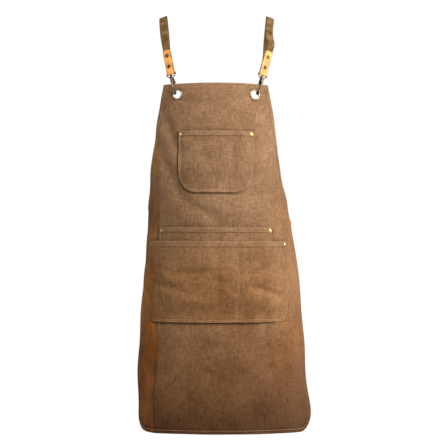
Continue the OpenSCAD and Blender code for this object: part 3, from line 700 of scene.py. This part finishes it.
def stitches(name, lines, radius=0.00048, pitch=0.0040, material=thread, body="root"):
    """Floats of thread along lines of points: each is a spindle of four rings of six, its middle
    proud of the cloth and its ends sunk. A line is (points, outward directions), both (n, 3)."""
    rings = np.array([-0.46, -0.28, 0.28, 0.46])*pitch
    widths = np.array([0.25, 1.0, 1.0, 0.25])*radius
    lifts = np.array([-0.5, 0.35, 0.35, -0.5])*radius
    turns = np.radians(np.arange(6)*60)
    points, faces = [], []
    for line, outward in lines:
        step = np.linalg.norm(np.diff(line, axis=0), axis=1)
        run = np.concatenate([[0], np.cumsum(step)])
        marks = np.arange(pitch/2, run[-1], pitch)
        place = np.stack([np.interp(marks, run, line[:, k]) for k in range(3)], -1)
        out = np.stack([np.interp(marks, run, outward[:, k]) for k in range(3)], -1)
        ahead = np.stack([np.interp(marks + 0.0005, run, line[:, k])
                          - np.interp(marks - 0.0005, run, line[:, k]) for k in range(3)], -1)
        ahead /= np.linalg.norm(ahead, axis=1, keepdims=True)
        side = np.cross(out, ahead)
        side /= np.linalg.norm(side, axis=1, keepdims=True)
        up = np.cross(ahead, side)
        for centre, f, w, u in zip(place, ahead, side, up):
            base = len(points)*24
            ring = (centre + f*rings[:, None] + u*lifts[:, None])[:, None]
            round_it = np.cos(turns)[:, None]*w + np.sin(turns)[:, None]*u*0.8
            points.append((ring + widths[:, None, None]*round_it).reshape(-1, 3))
            for k in range(3):
                for j in range(6):
                    n = (j + 1) % 6
                    faces.append((base + 6*k + j, base + 6*k + n, base + 6*k + 6 + n, base + 6*k + 6 + j))
            faces.append(tuple(base + j for j in range(5, -1, -1)))
            faces.append(tuple(base + 18 + j for j in range(6)))
    mesh = bpy.data.meshes.new(name)
    mesh.from_pydata(np.concatenate(points), [], faces)
    mesh.polygons.foreach_set("use_smooth", [True]*len(faces))
    mesh.materials.append(material)
    mesh.update()
    piece = bpy.data.objects.new(name, mesh)
    scene.collection.objects.link(piece)
    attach(piece, body)
    return piece


def on_cloth(s, t, lift):
    """A line on the cloth and the way out of the cloth along it, for flat places s, t and a lift that
    is a number, an array or a function of both."""
    s, t = np.broadcast_arrays(np.asarray(s, float), np.asarray(t, float))
    d = lift(s, t) if callable(lift) else lift
    line = cloth_point(s, t, d)
    out = cloth_point(s, t, d + 0.001) - line
    return line, out/np.linalg.norm(out, axis=-1, keepdims=True)


def panel_outline(inset):
    """The panel's outline moved in by an inset, from the top left round the hem to the top right."""
    drop = np.linspace(inset, armhole, 90)
    slope = (half_width(drop + 0.0005) - half_width(drop - 0.0005))/0.001
    bib_s = half_width(drop) - inset*np.sqrt(1 + slope**2)
    bib_s = np.minimum(bib_s, panel_half - inset)
    side_t = np.linspace(armhole + inset, panel_length - hem_radius, 60)
    angle = np.radians(np.linspace(0, 90, 16))
    corner_s = panel_half - hem_radius + (hem_radius - inset)*np.cos(angle)
    corner_t = panel_length - hem_radius + (hem_radius - inset)*np.sin(angle)
    half_s = np.concatenate([bib_s, np.full(60, panel_half - inset), corner_s])
    half_t = np.concatenate([drop, side_t, corner_t])
    bottom = np.linspace(-(panel_half - hem_radius), panel_half - hem_radius, 80)[1:-1]
    return (np.concatenate([-half_s, bottom, half_s[::-1]]),
            np.concatenate([half_t, np.full(78, panel_length - inset), half_t[::-1]]))


hem_s, hem_t = panel_outline(0.0086)
top_s = np.linspace(-bib_half + 0.010, bib_half - 0.010, 80)
hem_lift = cloth + 0.0007
stitches("hem_stitches", [on_cloth(hem_s, hem_t, hem_lift), on_cloth(top_s, 0.0086, hem_lift),
                          on_cloth(top_s, 0.0024, hem_lift)])


# ---- Pockets
# Three patches of the same canvas, hemmed at the mouth, turned in and sewn down twice round the
# other sides. The chest pocket has a pen slot. The lower waist pocket lies over the upper one.

def sew_pocket(name, pocket, columns, rows):
    """The pocket's skin on its graded grid, and its threads: two rows at the mouth, two round the
    sides and foot, and two down the seam."""
    s = np.broadcast_to(graded(-pocket.half, pocket.half, columns), (rows + 10, columns + 10))
    t = np.stack([graded(pocket.top, foot, rows) for foot in pocket.bottom(s[0])], axis=1)
    e = np.minimum(pocket.edge(s, t), t - pocket.top)
    thick = pocket.thickness(s, t)
    half_thick = rolled(e, thick)
    middle = pocket.lift(s, t) + thick/2
    front, back = cloth_point(s, t, middle + half_thick), cloth_point(s, t, middle - half_thick)
    sewn = pocket.edge(s, t)
    seam = np.exp(-((s - pocket.seam)/0.0030)**2)
    # Paler at the rubbed edges, which is wear, and along lines at the mouth's hem and the seam; painted
    # shade in lines under the mouth's hem and inside the side hems, and darker towards the bottom; redder
    # towards the bottom; and the side strip's painted-shade tint beyond the left crease.
    marks = {
        "wear_and_highlight": np.clip(0.22*np.exp(-(e/0.0012)**2) + 0.12*np.exp(-((t - pocket.top - 0.006)/0.005)**2)
                        + 0.10*seam, 0, 1),
        "painted_shade": np.clip(0.12*ease((t - 0.34)/0.10) + 0.6*np.exp(-((t - pocket.top - 0.0136)/0.0011)**2)
                         + 0.25*np.exp(-((sewn - 0.0102)/0.0011)**2), 0, 1),
        "warm": 0.7*ease((t - 0.32)/0.20),
        "tan": 0.75*ease((-0.161 - s)/0.005)}
    keep = np.ones((s.shape[0] - 1, s.shape[1] - 1), bool)
    piece = skin(name + "_canvas", front, back, keep, np.stack([s, -t], -1), marks, pocket_canvas)
    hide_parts(name)
    lines = []
    mouth = np.linspace(-pocket.half + 0.003, pocket.half - 0.003, 90)
    for inset in (0.0024, 0.0104):
        lines.append(on_cloth(mouth, pocket.top + inset, pocket.face))
    for inset in (0.0024, 0.0068):
        side_s, side_t = pocket.outline(inset, 0.004)
        lines.append(on_cloth(side_s, side_t, pocket.face))
    for beside in (-0.0022, 0.0022):
        drop = np.linspace(pocket.top + 0.013, pocket.foot - 0.010, 60)
        lines.append(on_cloth(pocket.seam + beside, drop, pocket.face))
    stitches(name + "_stitches", lines)
    return piece


chest_piece = sew_pocket("chest_pocket", chest, 84, 66)
upper_piece = sew_pocket("upper_waist_pocket", upper, 110, 70)
lower_piece = sew_pocket("lower_waist_pocket", lower, 150, 74)


# ---- Rivets and eyelets
# Domed brass caps on their posts, and two rolled brass eyelets with their washers. The brass is
# mottled by tarnish. The hooks, bolts and springs get their metals here too.

def metal_material(name, dark, middle, bright, roughness, scale):
    """Aged metal: tarnish in three tones by noise, rougher where it is dark, with fine pits."""
    material = bpy.data.materials.new(name)
    material.use_nodes = True
    tree, shader, add = nodes_of(material)
    place = add("ShaderNodeTexCoord").outputs["Object"]
    tarnish = noise(tree, place, scale, 4.0, 0.65)
    pits = noise(tree, place, 2600, 2.0, 0.6)
    colour = ramp(tree, tarnish, (0.34, dark), (0.50, middle), (0.66, bright))
    tree.links.new(colour, shader.inputs["Base Color"])
    rough = maths(tree, "MULTIPLY_ADD", tarnish, -0.35)
    rough.node.inputs[2].default_value = roughness + 0.18
    tree.links.new(rough, shader.inputs["Roughness"])
    tree.links.new(bumped(tree, pits, 0.25, 0.00012), shader.inputs["Normal"])
    shader.inputs["Metallic"].default_value = 1.0
    return material


rivet_brass = metal_material(
    "rivet_brass", (0.420, 0.250, 0.090), (0.720, 0.480, 0.190), (0.900, 0.700, 0.350), 0.48, 260)
eyelet_brass = metal_material(
    "eyelet_brass", (0.140, 0.096, 0.046), (0.340, 0.250, 0.130), (0.600, 0.480, 0.290), 0.48, 200)
hook_bronze = metal_material(
    "hook_bronze", (0.032, 0.024, 0.012), (0.090, 0.067, 0.034), (0.270, 0.210, 0.112), 0.40, 240)
bolt_black = metal_material(
    "bolt_black", (0.012, 0.011, 0.010), (0.035, 0.030, 0.024), (0.100, 0.080, 0.050), 0.36, 240)
spring_wire = metal_material(
    "spring_wire", (0.300, 0.300, 0.300), (0.460, 0.460, 0.460), (0.620, 0.620, 0.620), 0.30, 300)


def dress(material, *names):
    """Gives CAD nodes a material in every one of their slots."""
    for name in names:
        for place in frame["nodes"][name].material_slots:
            place.material = material


for place in ("chest", "upper", "lower", "waist"):
    dress(rivet_brass, place + "_rivet_caps", place + "_rivet_posts")
for side in ("left", "right"):
    dress(eyelet_brass, "eyelet_" + side, "eyelet_washer_" + side)
    dress(hook_bronze, "tab_rivet_caps_" + side, "tab_rivet_posts_" + side)
    dress(hook_bronze, "swivel_eye_" + side, "hook_body_" + side)
    dress(bolt_black, "thumb_bolt_" + side)
    dress(spring_wire, "bolt_spring_" + side)


# ---- Leather tabs
# A strip of vegetable-tanned leather folded round each swivel eye and riveted twice through the
# strap's end. The edges are burnished darker, and the leather dips a little round each rivet.

def leather_material():
    """Orange-brown leather: fine pebbled grain, pores, a slow change of tone and burnished edges."""
    material = bpy.data.materials.new("leather")
    material.use_nodes = True
    tree, shader, add = nodes_of(material)
    place = add("ShaderNodeTexCoord").outputs["Object"]
    pebble = add("ShaderNodeTexVoronoi")
    pebble.inputs["Scale"].default_value = 1300
    tree.links.new(place, pebble.inputs["Vector"])
    tone = noise(tree, place, 48, 4.0, 0.6)
    pores = noise(tree, place, 1700, 3.0, 0.7)
    colour = ramp(tree, tone, (0.34, (0.560, 0.200, 0.036)), (0.50, (0.760, 0.310, 0.062)),
                  (0.66, (0.900, 0.440, 0.105)))
    pored = ramp(tree, pores, (0.35, (0.80, 0.76, 0.70)), (0.6, (1.08, 1.08, 1.08)))
    colour = mixed(tree, 0.5, colour, pored, "MULTIPLY")
    colour = mixed(tree, attribute(tree, "edge"), colour, (0.190, 0.068, 0.020))
    tree.links.new(colour, shader.inputs["Base Color"])
    grain = bumped(tree, pebble.outputs["Distance"], 0.35, 0.0003)
    tree.links.new(bumped(tree, pores, 0.3, 0.0002, grain), shader.inputs["Normal"])
    rough = maths(tree, "MULTIPLY_ADD", tone, 0.3)
    rough.node.inputs[2].default_value = 0.32
    tree.links.new(rough, shader.inputs["Roughness"])
    shader.inputs["Specular IOR Level"].default_value = 0.4
    shader.inputs["Coat Weight"].default_value = 0.08
    return material


leather = leather_material()
leather_thick = 0.0017
fold_inner = 0.0013 + 0.00035
tab_top = 0.068 - fold_inner - leather_thick
tab_half = 0.0103
tab_rivets = (0.0185, 0.048)
joints = {joint["name"]: joint for joint in frame["joints"]}


def hook_axes(side):
    """The place of the eye's bar, and the directions across the strap, back, and up the hook."""
    swing, swivel = joints["eye_swing_" + side], joints["hook_swivel_" + side]
    x, z = np.array(swing["axis"], float), np.array(swivel["axis"], float)
    return np.array(swing["pos_m"], float), x, np.cross(z, x), z


def leather_tab(side):
    """The folded strip: a line down the front leaf, round the bar and up the back leaf, thickened
    both ways, with its width rounded in at the two ends and its long edges rolled."""
    bar, x, y, z = hook_axes(side)
    middle = fold_inner + leather_thick/2
    leaf = graded(0.0, tab_top, 44)[::-1]
    bend = np.radians(np.linspace(0, 180, 22))[1:-1]
    line_y = np.concatenate([np.full(len(leaf), -middle), -middle*np.cos(bend),
                             np.full(len(leaf), middle)])
    line_z = np.concatenate([leaf, -middle*np.sin(bend), leaf[::-1]])
    out_y = np.concatenate([np.full(len(leaf), -1.0), -np.cos(bend), np.full(len(leaf), 1.0)])
    out_z = np.concatenate([np.zeros(len(leaf)), -np.sin(bend), np.zeros(len(leaf))])
    from_end = np.maximum(tab_top - line_z, 0)
    corner = 0.006
    rounding = corner - np.sqrt(np.maximum(corner**2 - (corner - from_end)**2, 0))
    inset = np.where(from_end < corner, rounding, 0)
    width = (tab_half - inset)[:, None]
    v = graded(-tab_half, tab_half, 16)/tab_half
    w = width*v
    e = np.minimum(width*(1 - np.abs(v)), from_end[:, None])
    half_thick = rolled(e, leather_thick)
    press = sum(np.exp(-((line_z[:, None] - r)**2 + w**2)/0.0058**2) for r in tab_rivets)
    sunk = -0.00012*press
    grid = []
    for sign in (1, -1):
        off = sign*half_thick + (sunk if sign > 0 else 0)
        grid.append(bar + w[..., None]*x + (line_y[:, None] + off*out_y[:, None])[..., None]*y
                    + (line_z[:, None] + off*out_z[:, None])[..., None]*z)
    length = np.concatenate([[0], np.cumsum(np.hypot(np.diff(line_y), np.diff(line_z)))])
    spots = np.stack([w, np.broadcast_to(length[:, None], w.shape)], -1)
    marks = {"edge": np.clip(np.exp(-(e/0.0010)**2) + 0.25*press*(press < 0.9), 0, 1)}
    keep = np.ones((w.shape[0] - 1, w.shape[1] - 1), bool)
    piece = skin("leather_tab_" + side, grid[0], grid[1], keep, spots, marks, leather)
    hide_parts("tab_" + side)
    return piece


for side in ("left", "right"):
    leather_tab(side)


# ---- Bolt springs
# The coil behind each thumb bolt stays against the blind end of its bore, above the bolt. Each
# spring is only given a mesh of its own here.

for side, sign in (("left", -1), ("right", 1)):
    bar, x, y, z = hook_axes(side)
    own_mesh(frame["nodes"]["bolt_spring_" + side])


# ---- Webbing straps
# Cotton webbing, 20 mm wide, woven in a flat twill. Each strap runs from its tab over the
# shoulder, crosses the other behind the back and is sewn inside the panel's far waist corner.

def webbing_material():
    """Twill webbing: slanted ribs that turn round at the middle, dark and pale threads, and a
    firmer, darker selvedge."""
    material = bpy.data.materials.new("webbing")
    material.use_nodes = True
    tree, shader, add = nodes_of(material)
    coordinates = add("ShaderNodeTexCoord")
    parts = add("ShaderNodeSeparateXYZ")
    tree.links.new(coordinates.outputs["UV"], parts.inputs["Vector"])
    slant = maths(tree, "ADD", maths(tree, "ABSOLUTE", parts.outputs["X"]), parts.outputs["Y"])
    rib = maths(tree, "SINE", maths(tree, "MULTIPLY", slant, 2*math.pi/0.0016))
    rib = maths(tree, "MULTIPLY_ADD", rib, 0.5)
    rib.node.inputs[2].default_value = 0.5
    pick = maths(tree, "SINE", maths(tree, "MULTIPLY", parts.outputs["X"], 2*math.pi/0.0011))
    pick = maths(tree, "MULTIPLY_ADD", pick, 0.5)
    pick.node.inputs[2].default_value = 0.5
    height = maths(tree, "MULTIPLY", rib, pick)
    tone = noise(tree, coordinates.outputs["Object"], 60, 4.0, 0.6)
    fuzz = noise(tree, coordinates.outputs["Object"], 900, 3.0, 0.7)
    colour = ramp(tree, tone, (0.38, (0.130, 0.066, 0.023)), (0.50, (0.195, 0.107, 0.040)),
                  (0.62, (0.270, 0.162, 0.070)))
    ribbed = ramp(tree, height, (0.1, (0.62, 0.60, 0.56)), (0.8, (1.30, 1.28, 1.24)))
    colour = mixed(tree, 0.8, colour, ribbed, "MULTIPLY")
    fuzzed = ramp(tree, fuzz, (0.35, (0.80, 0.80, 0.80)), (0.65, (1.20, 1.20, 1.20)))
    colour = mixed(tree, 0.6, colour, fuzzed, "MULTIPLY")
    colour = tinted(tree, attribute(tree, "edge"), colour, (0.62, 0.60, 0.56))
    tree.links.new(colour, shader.inputs["Base Color"])
    raised = bumped(tree, height, 0.7, 0.0004)
    tree.links.new(bumped(tree, fuzz, 0.3, 0.0002, raised), shader.inputs["Normal"])
    shader.inputs["Roughness"].default_value = 0.88
    shader.inputs["Specular IOR Level"].default_value = 0.12
    return material


webbing = webbing_material()
strap_half = 0.010
webbing_thick = 0.0024
shoulder = 0.137
back_depth = 0.116
inside = -0.0009 - webbing_thick/2
end_slant = math.radians(32)


def sewn_point(side, s, d):
    """A spot of the strap's sewn end: s inside the panel's side edge along a slanted line, and d to
    one side of it."""
    far = -side
    return cloth_point(far*(panel_half - s - d*math.sin(end_slant)),
                       armhole + 0.002 + s*math.tan(end_slant) - d*math.cos(end_slant), inside)


def strap_stops(name, side):
    """The strap's route as stops, each a place and the direction across the webbing."""
    bar, x, y, z = hook_axes(name)
    over = 0 if side < 0 else webbing_thick + 0.0012

    def at(px, py, pz, ax, ay, az):
        """A stop for the viewer's right, mirrored for the left: its place and the way across."""
        return np.array([side*px, py, pz]), np.array([side*ax, ay, az])

    stops = [(bar + h*z, side*x) for h in (0.006, tab_top - 0.016, tab_top + 0.006, tab_top + 0.022)]
    stops += [
        at(shoulder - 0.002, -0.045, -0.045, 0.96, 0.2, -0.2),
        at(shoulder + 0.001, -0.020, -0.009, 0.94, 0, -0.34),
        at(shoulder + 0.001, 0.008, 0.001, 0.94, 0, -0.34),
        at(shoulder, 0.040, -0.012, 0.95, 0, -0.3),
        at(shoulder - 0.003, 0.078, -0.052, 1, 0, -0.1),
        at(shoulder - 0.006, 0.098, -0.095, 0.93, 0.35, 0),
        at(shoulder - 0.015, 0.110, -0.137, 0.3, 0.95, 0),
        at(shoulder - 0.020, back_depth - 0.001 + over, -0.163, 0.3, 0.95, 0),
        at(shoulder - 0.021, back_depth + 0.002 + over, -0.200, 0.35, 0.92, 0.1),
        at(shoulder - 0.034, back_depth + 0.005 + over, -0.236, 0.85, 0.4, -0.3),
        at(shoulder - 0.072, back_depth + 0.007 + over, -0.283, 0.87, 0, -0.5),
        at(0, back_depth + 0.009 + over, -0.346, 0.8, 0, -0.6),
        at(-0.092, back_depth + 0.003 + over/2, -0.434, 0.7, -0.1, -0.7)]
    for s in (-0.024, -0.004, 0.012, 0.026, 0.044):
        place = sewn_point(side, s, 0)
        wide = sewn_point(side, s, -0.010) - sewn_point(side, s, 0.010)
        stops.append((place, wide/np.linalg.norm(wide)))
    return stops


def spline(stops, steps):
    """A Catmull-Rom curve through the stops, with so many steps between each two."""
    p = np.array(stops)
    p = np.concatenate([p[:1], p, p[-1:]])
    rows = []
    for k in range(1, len(p) - 2):
        u = np.linspace(0, 1, steps, endpoint=False)[:, None]
        a, b, c, d = p[k - 1:k + 3]
        rows.append(0.5*(2*b + (c - a)*u + (2*a - 5*b + 4*c - d)*u**2 + (3*b - a - 3*c + d)*u**3))
    return np.concatenate(rows + [p[-1:]])


def webbing_strap(name, side):
    """The webbing: a flat band with rolled selvedges, carried along its route and turned with it."""
    stops = strap_stops(name, side)
    spots = spline([stop[0] for stop in stops], 12)
    turns = spline([stop[1] for stop in stops], 12)
    ahead = np.gradient(spots, axis=0)
    ahead /= np.linalg.norm(ahead, axis=1, keepdims=True)
    wide = turns - np.sum(turns*ahead, axis=1, keepdims=True)*ahead
    wide /= np.linalg.norm(wide, axis=1, keepdims=True)
    out = np.cross(ahead, wide)
    length = np.concatenate([[0], np.cumsum(np.linalg.norm(np.diff(spots, axis=0), axis=1))])
    v = graded(-strap_half, strap_half, 12)
    e = np.minimum(strap_half - np.abs(v), np.minimum(length, length[-1] - length)[:, None])
    half_thick = rolled(e, webbing_thick)
    centre = spots[:, None] + v[:, None]*wide[:, None]
    front = centre + half_thick[..., None]*out[:, None]
    back = centre - half_thick[..., None]*out[:, None]
    flat = np.stack(np.broadcast_arrays(v, length[:, None]), -1)
    marks = {"edge": np.clip(np.exp(-(e/0.0012)**2), 0, 1)}
    keep = np.ones((len(spots) - 1, len(v) - 1), bool)
    piece = skin("strap_webbing_" + name, back, front, keep, flat, marks, webbing)
    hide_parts("strap_" + name)
    lines = []
    for d in (-0.0078, 0.0078):
        run = np.linspace(0.004, 0.040, 12)
        line = np.array([sewn_point(side, s, d) for s in run])
        across_s, down_t = -side*(panel_half - run), armhole + run*math.tan(end_slant)
        outward = cloth_point(across_s, down_t, -0.001) - cloth_point(across_s, down_t, 0)
        outward /= np.linalg.norm(outward, axis=1, keepdims=True)
        lines.append((line + outward*(webbing_thick/2 + 0.0002), outward))
    stitches("strap_stitches_" + name, lines)
    return length[-1]


for name, side in (("left", -1), ("right", 1)):
    webbing_strap(name, side)
